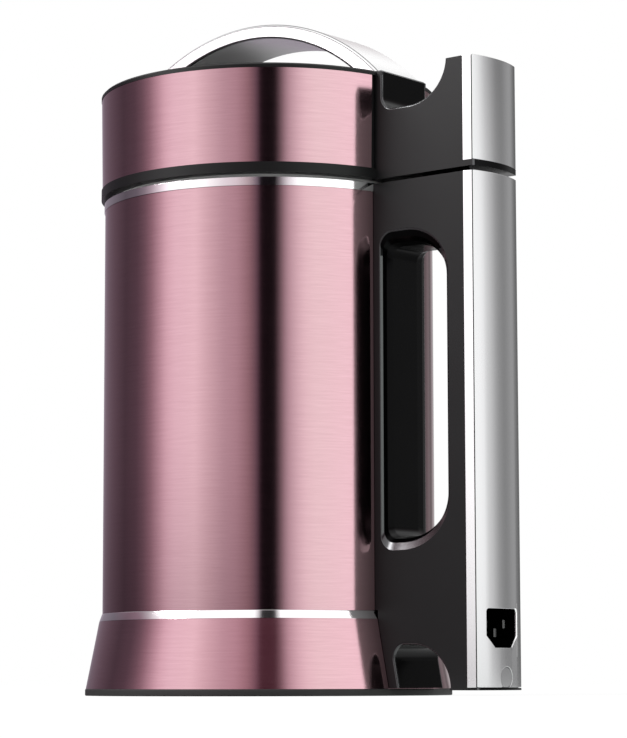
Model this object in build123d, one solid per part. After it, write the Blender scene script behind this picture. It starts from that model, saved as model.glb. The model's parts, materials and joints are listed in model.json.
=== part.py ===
from build123d import *
import math
import os

os.makedirs("parts", exist_ok=True)

# Countertop butter maker: a heated steel jug with a lift-off motor head.
# All lengths are in mm. Z is the jug's axis, the handle points along +X, the table is z = 0.

# Clearances
fit_gap = 0.2
skin_gap = 0.1
run_gap = 0.05
seat_gap = 0.2
overrun = 6.0
bend_flats = 3

# Jug outside, from the table up
body_r = 80.0
sheet_t = 0.8
foot_proud = 8.0
foot_h = 3.2
foot_w = 9.0
skirt_low_proud = 7.7
skirt_top_proud = 1.5
skirt_h = 31.8
lower_ring_proud = 1.4
lower_ring_h = 3.8
sleeve_h = 194.8
upper_ring_proud = 0.4
upper_ring_h = 4.0
ring_wall = 1.3
ring_spigot_h = 4.0
ring_lip_t = 1.8
seam_half = 9.0

# Jug inside
cup_inset = 9.0
cup_t = 0.8
cup_floor_z = 49.0
cup_corner_r = 7.0
housing_t = 2.4
deck_t = 2.5
deck_ledge = 12.5
cradle_w = 2.5
cradle_inset = 8.5
cover_plate_t = 2.2
cover_plate_lift = 0.8
boss_r = 4.0
boss_inset = 20.0
boss_count = 4
screw_r = 1.5
screw_head_r = 3.0
screw_head_h = 2.0
cover_screw_length = 21.0
vent_w = 3.0
vent_count = 5
vent_length = 44.0
plate_inset = 8.5
plate_t = 4.0
element_inset = 14.0
element_w = 7.0
element_h = 5.0
element_gap = 24.0
thermostat_r = 9.0
thermostat_h = 9.0

# Column with the handle
column_w = 34.4
back_wall = 4.0
slot_length = 36.3
grip_depth = 9.5
strip_w = 5.5
strip_t = 1.0
strip_line = 0.8
face_bulge = 2.9
face_t = 1.6
face_leg_t = 1.2
face_leg_d = 5.0
column_wall = 2.4
column_low = 3.5
column_drop = 0.4
column_foot_t = 1.0
slot_low = 66.0
slot_top_wall = 22.7
slot_back = 1.9
slot_front = 0.8
slot_corner_r = 7.0
slot_top_share = 0.612
slot_top_rz = 22.0
slot_low_share = 0.689
slot_low_rz = 24.0
slot_depth = 8.0
slot_back_crown = 1.5
slot_grip_crown = 3.0
slot_top_crown = 7.0
slot_low_crown = 6.5
slot_corner_crown = 4.0
slot_crown_shares = [(0, 0), (0.15, 0.53), (0.45, 0.84), (1, 1)]
slot_round = 0.5
slot_skin = 0.8
arch_top = 23.0
arch_wall = 3.9
arch_corner_r = 6.0
arch_share = 0.645
arch_rz = 20.0
arch_round = 1.0
clamp_t = 1.5
clamp_half = 14.0
clamp_margin = 0.5
clamp_screw_depth = 9.0
clamp_screw_pitch = 14.0

# Mains inlet and the plugged hole below it
inlet_w = 23.2
inlet_low = 21.4
inlet_h = 17.5
inlet_chamfer = 5.4
inlet_corner_r = 1.6
inlet_depth = 16.0
inlet_wall = 1.2
inlet_flange_t = 2.0
inlet_flange_rim = 3.0
pin_w = 2.0
pin_h = 4.0
pin_pitch = 14.0
pin_rise = 2.0
pin_recess = 2.0
plug_z = 8.2
plug_shift = 2.0
plug_r = 4.7
plug_t = 2.0
plug_rim = 0.5
foot_screw_length = 11.0

# Connection between the jug and the head
link_x_share = 0.52
link_w = 26.0
link_depth_y = 14.0
link_h = 15.0
link_wall = 2.0
link_ledge = 3.0
link_ledge_t = 2.0
contact_count = 4
contact_w = 2.0
contact_d = 5.0
contact_h = 6.0
contact_slot = 1.0
blade_pin_t = 0.8
blade_pin_w = 4.0
blade_pin_end = 2.5
nose_drop = 5.0
harness_r = 2.6
harness_bend = 9.0

# Head outside
head_gap = 2.0
head_ring_proud = 1.9
head_ring_h = 4.8
band_proud = 1.4
band_lean = 0.6
band_h = 44.3
band_seat = 0.7
band_margin = 2.3
lid_t = 2.3
lid_proud = 2.2
lid_round = 0.8
lid_spigot_t = 1.4
lid_spigot_h = 4.0
head_wall = 2.4
head_floor_t = 2.4
extension_drop = 0.3
extension_rise = 0.2
scoop_wall = 3.6
scoop_depth = 19.0
scoop_corner_r = 6.0
scoop_share = 0.572
scoop_rz = 20.0
scoop_round = 1.0
head_strip_rise = 2.8
window_half = 9.0
window_h = 20.0

# Arch over the lid
strap_rise = 33.7
strap_foot_inset = 1.4
strap_t = 6.8
strap_foot_t = 10.3
strap_round = 1.2
strap_screw_inset = 8.2
strap_screw_half = 9.0
strap_screw_depth = 5.0

# Controls in the lid
panel_t = 0.8
panel_edge = 24.0
panel_inset = 10.0
button_r = 5.5
button_pitch = 22.0
button_y = -46.0
button_proud = 0.5
button_travel = 0.8
button_flange = 1.2
button_flange_t = 1.0
button_count = 4
lens_r = 1.3
lens_y = -33.0
board_drop = 7.0
board_t = 1.6
board_edge = 18.0
switch_w = 6.0
slot_vent_w = 2.6
slot_vent_pitch = 8.0
slot_vent_count = 5
slot_vent_length = 52.0

# Motor bowl, tube and probe that reach into the jug
bowl_gap = 3.8
bowl_t = 0.9
bowl_depth = 48.6
bowl_corner_r = 12.0
bowl_flange_w = 5.6
bowl_hub_r = 15.0
bowl_hub_drop = 5.0
seal_w = 4.0
tube_r = 9.0
tube_t = 1.3
tube_low = 81.0
tube_flange_w = 4.0
tube_flange_t = 1.4
probe_r = 3.2
probe_x = -38.0
probe_low = 101.0
probe_nut_r = 6.0
probe_nut_t = 3.0

# Motor
motor_half = 35.9
mount_r = 5.0
mount_h = 4.5
bracket_t = 3.0
bracket_gap = 13.0
stack_h = 26.0
stack_round = 14.0
bore_r = 23.5
air_gap = 0.6
coil_h = 9.0
coil_t = 7.0
post_r = 4.0
post_inset = 11.0
bolt_r = 1.8
bearing_r = 8.0
bearing_h = 6.0
bearing_wall = 2.0
shaft_r = 4.0
commutator_r = 10.0
commutator_h = 7.0
brush_w = 6.0
brush_length = 12.0
fan_r = 34.0
fan_hub_r = 9.0
fan_h = 8.0
fan_blade_t = 1.0
fan_blade_count = 7
fan_pitch_angle = 35
fan_lift = 3.0
power_board_w = 60.0
power_board_h = 34.0
power_board_inset = 0.8
power_board_part_d = 8.5
board_block_shares = [(-0.3, 0.26, 0.3, 0.8), (0.02, 0.3, 0.3, 0.74), (0.33, 0.2, 0.3, 0.9)]

# Blade at the bottom of the shaft
bush_h = 12.0
lip_seal_h = 4.0
spacer_h = 6.0
blade_t = 1.5
blade_hub_r = 8.0
wing_count = 4
wing_length = 22.0
wing_root_w = 11.0
wing_tip_w = 6.0
wing_rise_angle = 24
wing_drop_angle = -16
nut_r = 6.0
nut_h = 6.0
nut_dome_h = 2.5

# Heights that follow from the sizes above
skirt_top = foot_h + skirt_h
sleeve_low = skirt_top + lower_ring_h
sleeve_top = sleeve_low + sleeve_h
jug_top = sleeve_top + upper_ring_h
head_low = jug_top + head_gap
band_low = head_low + head_ring_h
band_top = band_low + band_h
head_top = band_top + lid_t
column_top = jug_top - column_drop
slot_high = column_top - slot_top_wall
extension_low = head_low - extension_drop
extension_top = head_top - extension_rise
head_strip_low = extension_low + head_strip_rise

# Radii and reaches that follow
foot_r = body_r + foot_proud
skirt_low_r = body_r + skirt_low_proud
skirt_top_r = body_r + skirt_top_proud
sleeve_inner_r = body_r - sheet_t
cup_r = body_r - cup_inset
cup_inner_r = cup_r - cup_t
cradle_r = cup_r - cradle_inset
deck_hole_r = cradle_r - deck_ledge
plate_r = cradle_r - plate_inset
element_r = plate_r - element_inset
column_half = column_w / 2
slot_x0 = body_r + back_wall
slot_x1 = slot_x0 + slot_length
slot_rim_x0 = body_r + slot_back
slot_rim_x1 = slot_x1 + slot_front
slot_width = slot_rim_x1 - slot_rim_x0
side_x = slot_x1 + grip_depth
face_x = side_x + strip_w
reach_x = face_x + face_bulge
cavity_half = column_half - column_wall
tongue_half = column_half - strip_t - fit_gap
leg_half = cavity_half - fit_gap
link_x = slot_x0 + (side_x - slot_x0) * link_x_share
inlet_mid = inlet_low + inlet_h / 2
head_inner_r = body_r + band_proud - band_seat - skin_gap - head_wall
bowl_r = cup_inner_r - bowl_gap
bowl_inner_r = bowl_r - bowl_t
bowl_low = head_low - bowl_depth
floor_inner_r = bowl_r + fit_gap * 2
power_board_y = floor_inner_r - power_board_inset
lid_r = body_r + lid_proud
strap_foot_x = lid_r - strap_foot_inset
strap_r = (strap_foot_x ** 2 + strap_rise ** 2) / (2 * strap_rise)
strap_drop = strap_r - strap_rise
strap_inner_r = strap_r - strap_foot_t
strap_inner_rise = strap_foot_t - strap_t
at_base = (Align.CENTER, Align.CENTER, Align.MIN)


def post(radius, low, high, x=0.0, y=0.0):
    """An upright round bar between two heights."""
    return Pos(x, y, low) * Cylinder(radius, high - low, align=at_base)


def ring(outer, inner, low, high, x=0.0, y=0.0):
    """An upright tube between two heights."""
    return post(outer, low, high, x, y) - post(inner, low, high, x, y)


def block(x0, x1, y0, y1, z0, z1):
    """A box given by its six faces."""
    middle = Pos((x0 + x1) / 2, (y0 + y1) / 2, z0)
    return middle * Box(x1 - x0, y1 - y0, z1 - z0, align=at_base)


def turned(*points):
    """A solid of revolution about Z from a closed outline of (radius, height) points."""
    outline = Plane.XZ * make_face(Polyline(*points, close=True))
    return revolve(outline, Axis.Z)


def bend(centre_r, centre_z, radius, start_angle):
    """Points along a quarter bend of a pressed sheet, as short flats, counter-clockwise."""
    steps = bend_flats
    turns = [math.radians(start_angle + 90 * i / steps) for i in range(steps + 1)]
    return [(centre_r + radius * math.cos(t), centre_z + radius * math.sin(t)) for t in turns]


def side_slab(outline, half):
    """Extrude an outline drawn in X and Z to both sides of the XZ plane."""
    return extrude(Plane.XZ * outline, amount=half, both=True)


def upright(outline, low, high):
    """Extrude an outline drawn in X and Y between two heights."""
    return extrude(Pos(0, 0, low) * outline, amount=high - low)


def save(name, solid):
    """Write one sub-part."""
    if isinstance(solid, (list, ShapeList)):
        solid = Compound(children=list(solid))
    export_step(solid, "parts/" + name + ".step")


def mirrored_pair(solid):
    """A piece and its mirror image across the XZ plane."""
    return [solid, mirror(solid, about=Plane.XZ)]


def skirt_r_at(z):
    """Outside radius of the flared skirt at a height."""
    return skirt_low_r - (skirt_low_r - skirt_top_r) * (z - foot_h) / skirt_h


def jug_envelope(gap):
    """The space the jug's outside fills, grown by a gap, which the column's back is cut to."""
    ring_r = body_r + max(lower_ring_proud, skirt_top_proud) + gap
    return turned(
        (0, -overrun),
        (foot_r + gap, -overrun),
        (foot_r + gap, foot_h + gap),
        (skirt_low_r + gap, foot_h + gap),
        (ring_r, skirt_top),
        (ring_r, sleeve_low + gap),
        (body_r + gap, sleeve_low + gap),
        (body_r + gap, sleeve_top - gap),
        (body_r + upper_ring_proud + gap, sleeve_top - gap),
        (body_r + upper_ring_proud + gap, jug_top + overrun),
        (0, jug_top + overrun),
    )


def slot_outline(crown, grow=0):
    """The finger slot: its rim where crown is 0, and its closest walls where crown is 1."""
    x0 = slot_rim_x0 + crown * slot_back_crown - grow
    x1 = slot_rim_x1 - crown * slot_grip_crown + grow
    z0 = slot_low + crown * slot_low_crown - grow
    z1 = slot_high - crown * slot_top_crown + grow
    top_rx = slot_width * slot_top_share - crown * slot_grip_crown + grow
    top_rz = slot_top_rz - crown * slot_corner_crown + grow
    low_rx = slot_width * slot_low_share - crown * slot_grip_crown + grow
    low_rz = slot_low_rz - crown * slot_corner_crown + grow
    corner = slot_corner_r - crown * slot_back_crown + grow
    edges = [
        Line((x0, z0 + corner), (x0, z1 - corner)),
        RadiusArc((x0, z1 - corner), (x0 + corner, z1), corner),
        Line((x0 + corner, z1), (x1 - top_rx, z1)),
        EllipticalCenterArc((x1 - top_rx, z1 - top_rz), top_rx, top_rz, 0),
        Line((x1, z1 - top_rz), (x1, z0 + low_rz)),
        EllipticalCenterArc((x1 - low_rx, z0 + low_rz), low_rx, low_rz, 270),
        Line((x1 - low_rx, z0), (x0 + corner, z0)),
        RadiusArc((x0 + corner, z0), (x0, z0 + corner), corner),
    ]
    return make_face(edges)


def slot_core(half):
    """The space in the finger slot: from its rim on each side the walls close in to a crown."""
    places = [(column_half - slot_depth * depth, crown) for depth, crown in slot_crown_shares]
    places.insert(0, (half, 0))
    sections = [Plane.XZ.offset(y) * slot_outline(crown) for y, crown in places]
    sections += [Plane.XZ.offset(-y) * slot_outline(crown) for y, crown in reversed(places)]
    return loft(sections, ruled=True)


def arch_outline(grow):
    """Outline of the open arch under the column, its back wall parallel to the skirt."""
    x1 = slot_x1 + grow
    z1 = arch_top + grow
    rx = (slot_x1 - skirt_r_at(arch_top) - arch_wall) * arch_share + grow
    rz = arch_rz + grow
    back_low = skirt_r_at(-overrun) + arch_wall - grow
    back_high = skirt_r_at(z1) + arch_wall - grow
    edges = [
        Line((back_low, -overrun), (back_high, z1)),
        Line((back_high, z1), (x1 - rx, z1)),
        EllipticalCenterArc((x1 - rx, z1 - rz), rx, rz, 0),
        Line((x1, z1 - rz), (x1, -overrun)),
        Line((x1, -overrun), (back_low, -overrun)),
    ]
    face = make_face(edges)
    corner = face.vertices().sort_by(Axis.Y)[-2:].sort_by(Axis.X)[0]
    return fillet(corner, arch_corner_r + grow)


def scoop_outline(grow):
    """Outline of the scoop in the head's extension, open at the top."""
    x0 = body_r + scoop_wall - grow
    x1 = slot_x1 + grow
    z0 = head_top - scoop_depth - grow
    rx = (slot_x1 - body_r - scoop_wall) * scoop_share + grow
    rz = scoop_rz + grow
    corner = scoop_corner_r + grow
    top = head_top + overrun
    edges = [
        Line((x0, top), (x0, z0 + corner)),
        RadiusArc((x0, z0 + corner), (x0 + corner, z0), -corner),
        Line((x0 + corner, z0), (x1 - rx, z0)),
        EllipticalCenterArc((x1 - rx, z0 + rz), rx, rz, 270),
        Line((x1, z0 + rz), (x1, top)),
        Line((x1, top), (x0, top)),
    ]
    return make_face(edges)


def bowed_end(x0):
    """The plan of the column's front part from x0 out to its bowed face."""
    edges = [
        Line((x0, -column_half), (face_x, -column_half)),
        ThreePointArc((face_x, -column_half), (reach_x, 0), (face_x, column_half)),
        Line((face_x, column_half), (x0, column_half)),
        Line((x0, column_half), (x0, -column_half)),
    ]
    return make_face(edges)


def side_edges(solid, half, x_range, z_range):
    """Edges that lie on the two side planes within a window of X and Z."""
    found = []
    for edge in solid.edges():
        box = edge.bounding_box()
        flat = box.max.Y - box.min.Y < skin_gap
        on_side = abs(abs(box.min.Y) - half) < skin_gap
        in_x = box.min.X > x_range[0] and box.max.X < x_range[1]
        in_z = box.min.Z > z_range[0] and box.max.Z < z_range[1]
        if flat and on_side and in_x and in_z:
            found.append(edge)
    return found


def face_shell(low, high, leg_low, leg_high):
    """The bowed satin face of the column between two heights, with a clip leg down each side."""
    inner_half = leg_half - face_leg_t
    edges = [
        ThreePointArc((face_x, -column_half), (reach_x, 0), (face_x, column_half)),
        Line((face_x, column_half), (face_x, inner_half)),
        ThreePointArc((face_x, inner_half), (reach_x - face_t, 0), (face_x, -inner_half)),
        Line((face_x, -inner_half), (face_x, -column_half)),
    ]
    shell = upright(make_face(edges), low, high)
    for y in (-leg_half, inner_half):
        shell += block(face_x - face_leg_d, face_x, y, y + face_leg_t, leg_low, leg_high)
    return shell


def side_strip(low, high):
    """One bright strip along the column's side."""
    return block(
        side_x + skin_gap, face_x - strip_line, column_half - strip_t, column_half, low, high
    )


def screw(head_z, length, x, y, up=1, thread=screw_r):
    """A pan-head screw: the head's outer face is at head_z and the shank runs up or down."""
    head_end = head_z + up * screw_head_h
    tip = head_end + up * length
    head = post(screw_head_r, min(head_z, head_end), max(head_z, head_end), x, y)
    return head + post(thread, min(head_end, tip), max(head_end, tip), x, y)


def boss_places():
    """Where the base cover's screws stand, clear of the handle direction."""
    radius = foot_r - boss_inset
    turns = [math.radians(360 / boss_count * (i + 0.5)) for i in range(boss_count)]
    return [(radius * math.cos(turn), radius * math.sin(turn)) for turn in turns]


# Jug: foot, base and skirt

foot_ring = ring(foot_r, foot_r - foot_w, 0, foot_h)
save("foot_ring", foot_ring)

base_skirt = turned(
    (skirt_low_r, foot_h),
    (skirt_top_r, skirt_top),
    (skirt_top_r - sheet_t, skirt_top),
    (skirt_low_r - sheet_t, foot_h),
)
base_skirt -= block(
    0, foot_r + overrun, -seam_half, seam_half, foot_h + housing_t, skirt_top + overrun
)
save("base_skirt", base_skirt)

housing_low_r = skirt_low_r - sheet_t - skin_gap
housing_top_r = skirt_top_r - sheet_t - skin_gap
base_housing = turned(
    (housing_low_r, foot_h),
    (housing_top_r, skirt_top),
    (cradle_r + cradle_w, skirt_top),
    (cradle_r + cradle_w, cup_floor_z),
    (cradle_r, cup_floor_z),
    (cradle_r, skirt_top),
    (deck_hole_r, skirt_top),
    (deck_hole_r, skirt_top - deck_t),
    (housing_top_r - housing_t, skirt_top - deck_t),
    (housing_low_r - housing_t, foot_h),
)
boss_low = cover_plate_lift + cover_plate_t
for x, y in boss_places():
    base_housing += post(boss_r, boss_low, skirt_top - deck_t, x, y)
    base_housing -= post(screw_r, boss_low, skirt_top - deck_t - housing_t, x, y)
save("base_housing", base_housing)

base_cover_r = foot_r - foot_w - fit_gap
base_cover = post(base_cover_r, cover_plate_lift, boss_low)
for x, y in boss_places():
    base_cover -= post(screw_r + fit_gap, cover_plate_lift, boss_low, x, y)
for i in range(vent_count):
    vent_y = (i - (vent_count - 1) / 2) * vent_w * 3
    base_cover -= block(
        -vent_length / 2, vent_length / 2, vent_y - vent_w / 2, vent_y + vent_w / 2,
        cover_plate_lift - overrun, boss_low + overrun,
    )
for x, y in boss_places():
    base_cover -= post(screw_head_r + fit_gap, cover_plate_lift, boss_low - cover_plate_t / 2, x, y)
save("base_cover", base_cover)

cover_screws = []
for x, y in boss_places():
    head_face = boss_low - cover_plate_t / 2
    shank_top = head_face + cover_screw_length
    head = post(screw_head_r, cover_plate_lift, head_face, x, y)
    cover_screws.append(head + post(screw_r, head_face, shank_top, x, y))
save("base_cover_screws", cover_screws)

# Jug: rings, sleeve and cup

spigot_r = sleeve_inner_r - skin_gap
lower_ring = turned(
    (body_r + lower_ring_proud, skirt_top),
    (body_r + lower_ring_proud, sleeve_low),
    (spigot_r, sleeve_low),
    (spigot_r, sleeve_low + ring_spigot_h),
    (spigot_r - ring_wall, sleeve_low + ring_spigot_h),
    (spigot_r - ring_wall, skirt_top),
)
save("lower_ring", lower_ring)

outer_sleeve = ring(body_r, sleeve_inner_r, sleeve_low, sleeve_top)
outer_sleeve -= block(
    0, body_r + overrun, -seam_half, seam_half, sleeve_low - overrun, sleeve_top + overrun
)
save("outer_sleeve", outer_sleeve)

ring_out_r = body_r + upper_ring_proud
lip_low = jug_top - ring_lip_t
cup_mouth_r = cup_inner_r + fit_gap
upper_ring = turned(
    (ring_out_r, sleeve_top),
    (ring_out_r, jug_top),
    (cup_mouth_r, jug_top),
    (cup_mouth_r, lip_low),
    (spigot_r - ring_wall, lip_low),
    (spigot_r - ring_wall, sleeve_top - ring_spigot_h),
    (spigot_r, sleeve_top - ring_spigot_h),
    (spigot_r, sleeve_top),
)
save("upper_ring", upper_ring)

flange_low = lip_low - cup_t
flange_r = spigot_r - ring_wall - fit_gap
corner_centre = (cup_r - cup_corner_r, cup_floor_z + cup_corner_r)
inner_cup = turned(
    (0, cup_floor_z),
    *bend(*corner_centre, cup_corner_r, 270),
    (cup_r, flange_low),
    (flange_r, flange_low),
    (flange_r, lip_low),
    (cup_inner_r, lip_low),
    *reversed(bend(*corner_centre, cup_corner_r - cup_t, 270)),
    (0, cup_floor_z + cup_t),
)
save("inner_cup", inner_cup)

# Jug: heater under the cup's floor

plate_low = cup_floor_z - plate_t
heater_plate = post(plate_r, plate_low, cup_floor_z)
save("heater_plate", heater_plate)

element_low = plate_low - element_h
heating_element = ring(element_r + element_w / 2, element_r - element_w / 2, element_low, plate_low)
heating_element -= block(-foot_r, 0, -element_gap / 2, element_gap / 2, element_low - overrun, plate_low)
terminal_y = element_gap / 2 + element_w / 2
for y in (-terminal_y, terminal_y):
    heating_element += block(
        -element_r - element_w / 4, -element_r + element_w / 4, y - element_w / 4, y + element_w / 4,
        element_low - element_h, element_low,
    )
save("heating_element", heating_element)

thermostat = post(thermostat_r, plate_low - thermostat_h / 2, plate_low)
thermostat += block(
    -thermostat_r / 2, thermostat_r / 2, -thermostat_r, thermostat_r,
    plate_low - thermostat_h, plate_low - thermostat_h / 2,
)
save("thermostat", thermostat)

# Column: moulded body with the finger slot and the open arch

clamp_low = sleeve_low + ring_spigot_h + seat_gap + clamp_margin
clamp_high = sleeve_top - ring_spigot_h - seat_gap - fit_gap
clamp_outer_r = sleeve_inner_r - skin_gap
clamp_inner_r = clamp_outer_r - clamp_t
clamp_screw_z = [
    (arch_top + slot_low) / 2,
    (slot_high + column_top) / 2,
]
boss_end = body_r + clamp_screw_depth + back_wall

profile = Plane.XZ * make_face(
    Polyline((0, column_low), (side_x, column_low), (side_x, column_top), (0, column_top), close=True)
)
handle_body = extrude(profile, amount=column_half, both=True)
handle_body -= jug_envelope(fit_gap)
handle_body -= slot_core(column_half + overrun)
handle_body -= side_slab(arch_outline(0), column_half + overrun)
slot_rims = side_edges(
    handle_body, column_half,
    (slot_rim_x0 - skin_gap, slot_rim_x1 + skin_gap), (slot_low - skin_gap, slot_high + skin_gap),
)
handle_body = fillet(slot_rims, slot_round)
arch_rims = side_edges(
    handle_body, column_half, (skirt_top_r + arch_wall, slot_x1 + skin_gap), (0, arch_top + skin_gap)
)
arch_rims = [edge for edge in arch_rims if edge.bounding_box().max.Z > foot_h * 2]
handle_body = fillet(arch_rims, arch_round)
tongue = block(
    side_x - column_wall, face_x - strip_line, -tongue_half, tongue_half, column_low, column_top
)
handle_body += tongue
cavity = block(slot_x0, reach_x, -cavity_half, cavity_half, -overrun, column_top - column_wall)
cavity -= side_slab(slot_outline(0, slot_skin), column_half)
cavity -= side_slab(arch_outline(column_wall), column_half)
cavity -= jug_envelope(back_wall - fit_gap)
handle_body -= cavity
clamp_screw_y = (-clamp_screw_pitch / 2, clamp_screw_pitch / 2)
screw_places = [(y, z) for z in clamp_screw_z for y in clamp_screw_y]
for y, z in screw_places:
    boss = Pos(slot_x0 - skin_gap, y, z) * Rot(0, 90, 0) * Cylinder(
        boss_r, boss_end - slot_x0, align=at_base
    )
    handle_body += boss
for y, z in screw_places:
    handle_body -= Pos(body_r - overrun, y, z) * Rot(0, 90, 0) * Cylinder(
        screw_r, boss_end - body_r + overrun - fit_gap * 5, align=at_base
    )
link_half_x = link_w / 2
link_half_y = link_depth_y / 2
handle_body -= block(
    link_x - link_half_x - fit_gap, link_x + link_half_x + fit_gap,
    -link_half_y - fit_gap, link_half_y + fit_gap,
    column_top - column_wall - overrun, column_top + overrun,
)
save("handle_body", handle_body)

handle_clamp = ring(clamp_outer_r, clamp_inner_r, clamp_low, clamp_high)
handle_clamp &= block(0, body_r, -clamp_half, clamp_half, clamp_low, clamp_high)
handle_clamp = handle_clamp.solids()[0]
for y, z in screw_places:
    handle_clamp -= Pos(cup_r, y, z) * Rot(0, 90, 0) * Cylinder(
        screw_r + skin_gap, cup_inset * 2, align=at_base
    )
save("handle_clamp", handle_clamp)

clamp_screws = []
for y, z in screw_places:
    seat_x = math.sqrt(clamp_inner_r ** 2 - (abs(y) + screw_head_r) ** 2)
    axis = Pos(seat_x, y, z) * Rot(0, 90, 0)
    shank = axis * Cylinder(screw_r, boss_end - seat_x - fit_gap * 10, align=at_base)
    head = axis * Pos(0, 0, -screw_head_h) * Cylinder(screw_head_r, screw_head_h, align=at_base)
    clamp_screws.append(head + shank)

strip_low = column_low + fit_gap
handle_strip = side_strip(strip_low, column_top)
save("handle_strips", mirrored_pair(handle_strip))

foot_plate_low = column_low - column_foot_t
handle_foot = upright(bowed_end(slot_x1), foot_plate_low, column_low)
foot_plug_half = cavity_half - fit_gap - face_leg_t * 2
foot_boss_x = face_x - face_leg_d
handle_foot += block(
    slot_x1 + column_wall + fit_gap, foot_boss_x, -foot_plug_half, foot_plug_half,
    column_low - skin_gap, plug_z + plug_r,
)
handle_foot -= Pos(slot_x1, plug_shift, plug_z) * Rot(0, 90, 0) * Cylinder(
    screw_r, side_x + strip_w * 2 - slot_x1, align=at_base
)
save("handle_foot", handle_foot)

# Column: satin face with the mains inlet, and the plugged screw below it


def inlet_outline(grow):
    """Outline of the mains inlet across Y and Z: two cut corners below, two round ones above."""
    half = inlet_w / 2 + grow
    low = inlet_low - grow
    high = inlet_low + inlet_h + grow
    cut = inlet_chamfer
    face = make_face(
        Polyline(
            (-half, low + cut), (-half + cut, low), (half - cut, low),
            (half, low + cut), (half, high), (-half, high), close=True,
        )
    )
    return fillet(face.vertices().sort_by(Axis.Y)[-2:], inlet_corner_r + grow)


def inlet_prism(grow, x0, x1):
    """The inlet's outline, extruded along X."""
    return extrude(Plane.YZ.offset(x0) * inlet_outline(grow), amount=x1 - x0)


collar_front = face_x - skin_gap
cavity_back = collar_front - inlet_depth
leg_low = plug_z + plug_r + seat_gap
leg_high = column_top - column_wall - seat_gap
handle_face = face_shell(strip_low, column_top, leg_low, leg_high)
handle_face -= inlet_prism(0, face_x - inlet_depth, reach_x + overrun)
plug_axis = Pos(face_x - face_leg_d, plug_shift, plug_z) * Rot(0, 90, 0)
handle_face -= plug_axis * Cylinder(plug_r, face_leg_d + face_bulge + overrun, align=at_base)
save("handle_face", handle_face)

inlet_housing = inlet_prism(inlet_wall, cavity_back - inlet_wall, collar_front)
flange_half = leg_half - face_leg_t - fit_gap
inlet_housing += block(
    collar_front - inlet_flange_t, collar_front, -flange_half, flange_half,
    inlet_low - inlet_flange_rim, inlet_low + inlet_h + inlet_flange_rim,
)
inlet_housing -= inlet_prism(0, cavity_back, reach_x)
save("inlet_housing", inlet_housing)

inlet_pins = []
pin_front = collar_front - pin_recess
for y, z in (
    (-pin_pitch / 2, inlet_mid + pin_rise),
    (0, inlet_mid - pin_rise),
    (pin_pitch / 2, inlet_mid + pin_rise),
):
    inlet_pins.append(
        block(cavity_back, pin_front, y - pin_w / 2, y + pin_w / 2, z - pin_h / 2, z + pin_h / 2)
    )
save("inlet_pins", inlet_pins)

cap_seat = face_x + face_bulge - plug_rim - plug_t
screw_plug = Pos(cap_seat, plug_shift, plug_z) * Rot(0, 90, 0) * Cylinder(
    plug_r - skin_gap, plug_t, align=at_base
)
save("screw_plug", screw_plug)

foot_screw_axis = Pos(cap_seat - screw_head_h - seat_gap, plug_shift, plug_z) * Rot(0, 90, 0)
foot_screw = foot_screw_axis * Cylinder(screw_head_r, screw_head_h, align=at_base)
foot_screw += foot_screw_axis * Pos(0, 0, -foot_screw_length) * Cylinder(
    screw_r, foot_screw_length, align=at_base
)
save("handle_screws", clamp_screws + [foot_screw])

# Column: socket at the top and the wires up to it

socket_low = column_top - link_h
handle_socket = block(
    link_x - link_half_x, link_x + link_half_x, -link_half_y, link_half_y, socket_low, column_top
)
ledge_top = column_top - column_wall
handle_socket += block(
    link_x - link_half_x - link_ledge, link_x + link_half_x + link_ledge,
    -link_half_y, link_half_y, ledge_top - link_ledge_t, ledge_top,
)
well_half_x = link_half_x - link_wall
well_half_y = link_half_y - link_wall
well_floor = socket_low + link_wall
handle_socket -= block(
    link_x - well_half_x, link_x + well_half_x, -well_half_y, well_half_y,
    well_floor, column_top + overrun,
)
save("handle_socket", handle_socket)

contact_pitch = (2 * well_half_x) / contact_count
contact_x = [link_x + (i - (contact_count - 1) / 2) * contact_pitch for i in range(contact_count)]
contacts = []
for x in contact_x:
    clip = block(
        x - contact_w / 2, x + contact_w / 2, -contact_d / 2, contact_d / 2,
        well_floor, well_floor + contact_h,
    )
    clip -= block(
        x - contact_slot / 2, x + contact_slot / 2, -contact_d, contact_d,
        well_floor + contact_w / 2, well_floor + contact_h + overrun,
    )
    contacts.append(clip)
save("socket_contacts", contacts)

grip_mid_x = (slot_x1 + column_wall + face_x - face_leg_d) / 2
wire_back = cavity_back - inlet_wall
wire_z = inlet_low + inlet_h - harness_r
wire_start_x = wire_back - harness_bend * 1.5
wire_turn_z = (wire_z + slot_low) / 2
wire_points = [
    (wire_back, 0, wire_z),
    (wire_start_x, 0, wire_z),
    (wire_start_x, 0, wire_turn_z),
    (grip_mid_x, 0, wire_turn_z + harness_bend),
    (grip_mid_x, 0, slot_high - harness_r * 1.5),
    (link_x, 0, socket_low - harness_r * 2),
    (link_x, 0, socket_low),
]
wire_path = FilletPolyline(*wire_points, radius=harness_r * 1.3)
wire_section = Plane(origin=wire_points[0], z_dir=(-1, 0, 0)) * RegularPolygon(harness_r, 6)
wiring_harness = sweep(wire_section, path=wire_path)
save("wiring_harness", wiring_harness)

# Head: housing with the extension and its scoop

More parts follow.
